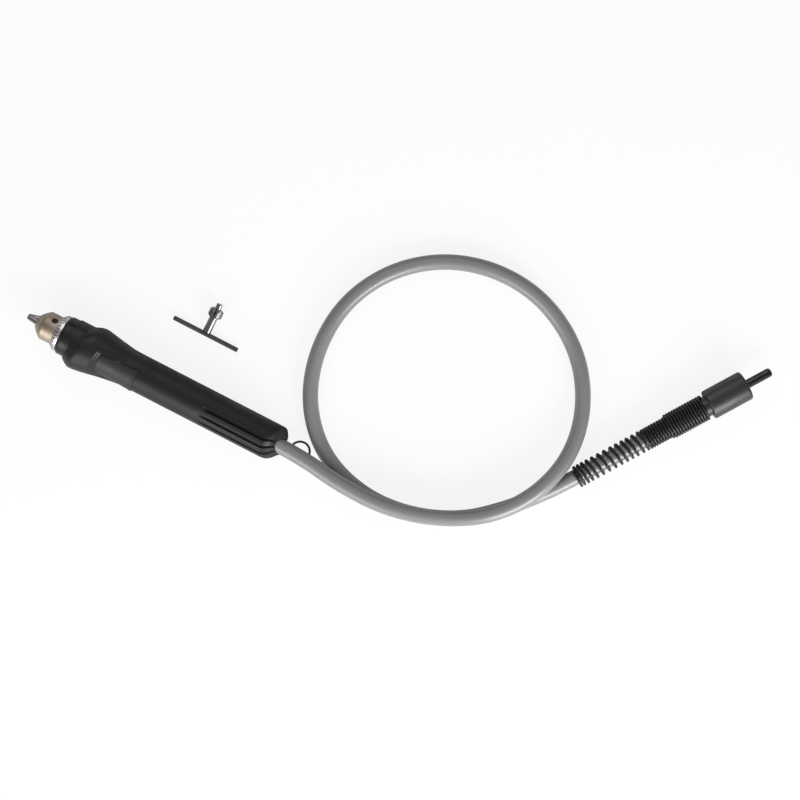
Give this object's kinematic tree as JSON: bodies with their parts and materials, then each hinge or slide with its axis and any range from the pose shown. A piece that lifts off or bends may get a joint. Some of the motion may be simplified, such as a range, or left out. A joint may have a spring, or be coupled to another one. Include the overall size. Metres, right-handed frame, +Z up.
{
  "type": "rotary tool handpiece with flexible shaft",
  "caption": "Slim hand-held rotary tool with a keyed three-jaw chuck, a looped flexible shaft in a grey hose and a spring-guarded drive coupling, with its chuck key.",
  "frame": {"origin": "on the spindle axis in the plane of the chuck jaw tips", "axes": "+X runs from the jaw tips back along the handle to the hose, +Z is up from the surface that the tool lies on, +Y is to the side on which the hose loop and the chuck key lie"},
  "size_m": [0.5377, 0.2498, 0.0357],
  "materials": {
    "handle_plastic": "satin",
    "rest_plastic": "satin",
    "chuck_steel": "brushed",
    "ring_gear_steel": "polished",
    "jaw_steel": "ground",
    "black_gloss_metal": "gloss",
    "bright_steel": "ground",
    "cage_steel": "pressed",
    "hose_rubber": "gloss",
    "liner_steel": "wound",
    "core_steel": "wound",
    "spring_black": "semi-gloss",
    "ferrule_steel": "satin",
    "connector_black": "satin",
    "bush_bronze": "satin",
    "shank_black": "gloss",
    "ring_black": "satin",
    "key_steel": "bright",
    "key_bar_dark": "satin"
  },
  "bodies": {
    "handle": {"upper_shell": "handle_plastic", "lower_shell": "handle_plastic", "nose_cap": "black_gloss_metal", "upper_thumb_rest": "rest_plastic", "lower_thumb_rest": "rest_plastic", "handle_screws": "bright_steel", "front_bearing_outer_race": "bright_steel", "rear_bearing_outer_race": "bright_steel", "handle_ferrule": "ferrule_steel", "hose_sheath": "hose_rubber", "hose_liner": "liner_steel", "flex_core": "core_steel", "bend_spring": "spring_black", "coupling_ferrule": "connector_black", "connector_shell": "connector_black", "connector_plug": "connector_black", "shank_bush": "bush_bronze"},
    "chuck": {"chuck_body": "chuck_steel", "spindle": "bright_steel", "bearing_spacer": "bright_steel", "circlip": "bright_steel", "front_core_tip": "bright_steel", "front_bearing_inner_race": "bright_steel", "rear_bearing_inner_race": "bright_steel"},
    "key_sleeve": {"chuck_sleeve": "ring_gear_steel", "split_nut": "ring_gear_steel"},
    "first_jaw": {"jaw_1": "jaw_steel"},
    "second_jaw": {"jaw_2": "jaw_steel"},
    "third_jaw": {"jaw_3": "jaw_steel"},
    "front_balls": {"front_bearing_balls": "bright_steel", "front_bearing_cage": "cage_steel"},
    "rear_balls": {"rear_bearing_balls": "bright_steel", "rear_bearing_cage": "cage_steel"},
    "drive": {"drive_shank": "shank_black", "thrust_washer": "bright_steel", "rear_core_tip": "bright_steel"},
    "ring": {"hang_ring": "ring_black"},
    "chuck_key": {"key_shank": "key_steel", "key_bar": "key_bar_dark"}
  },
  "joints": [
    {"name": "chuck_spin", "type": "hinge", "parent": "handle", "child": "chuck", "pos_m": [0.044, 0, 0], "axis": [1, 0, 0], "continuous": true},
    {"name": "drive_spin", "type": "hinge", "parent": "handle", "child": "drive", "pos_m": [0.52328, 0.20915, -0.00351], "axis": [0.5597, 0.8283, 0.0252], "continuous": true},
    {"name": "front_balls_spin", "type": "hinge", "parent": "handle", "child": "front_balls", "pos_m": [0.044, 0, 0], "axis": [1, 0, 0], "continuous": true},
    {"name": "rear_balls_spin", "type": "hinge", "parent": "handle", "child": "rear_balls", "pos_m": [0.1736, 0, 0], "axis": [1, 0, 0], "continuous": true},
    {"name": "sleeve_turn", "type": "hinge", "parent": "chuck", "child": "key_sleeve", "pos_m": [0.03, 0, 0], "axis": [1, 0, 0], "range_deg": [0, 2434.1]},
    {"name": "first_jaw_slide", "type": "slide", "parent": "chuck", "child": "first_jaw", "axis": [0.9659, -0.1094, 0.2346], "range_m": [0, 0.00677]},
    {"name": "second_jaw_slide", "type": "slide", "parent": "chuck", "child": "second_jaw", "axis": [0.9659, -0.1485, -0.212], "range_m": [0, 0.00677]},
    {"name": "third_jaw_slide", "type": "slide", "parent": "chuck", "child": "third_jaw", "axis": [0.9659, 0.2578, -0.0226], "range_m": [0, 0.00677]},
    {"name": "ring_swing", "type": "hinge", "parent": "handle", "child": "ring", "pos_m": [0.22878, 0.0024, -0.0122], "axis": [0, 1, 0], "range_deg": [-24, 60]},
    {"name": "key_lift", "type": "slide", "parent": "handle", "child": "chuck_key", "axis": [0, 0, 1], "range_m": [0, 0.08]}
  ],
  "couplings": [
    {"joint": "drive_spin", "follows": "chuck_spin", "ratio": 1},
    {"joint": "front_balls_spin", "follows": "chuck_spin", "ratio": 0.368},
    {"joint": "rear_balls_spin", "follows": "chuck_spin", "ratio": 0.368},
    {"joint": "first_jaw_slide", "follows": "sleeve_turn", "m_per_rad": 0.00015915},
    {"joint": "second_jaw_slide", "follows": "sleeve_turn", "m_per_rad": 0.00015915},
    {"joint": "third_jaw_slide", "follows": "sleeve_turn", "m_per_rad": 0.00015915}
  ]
}
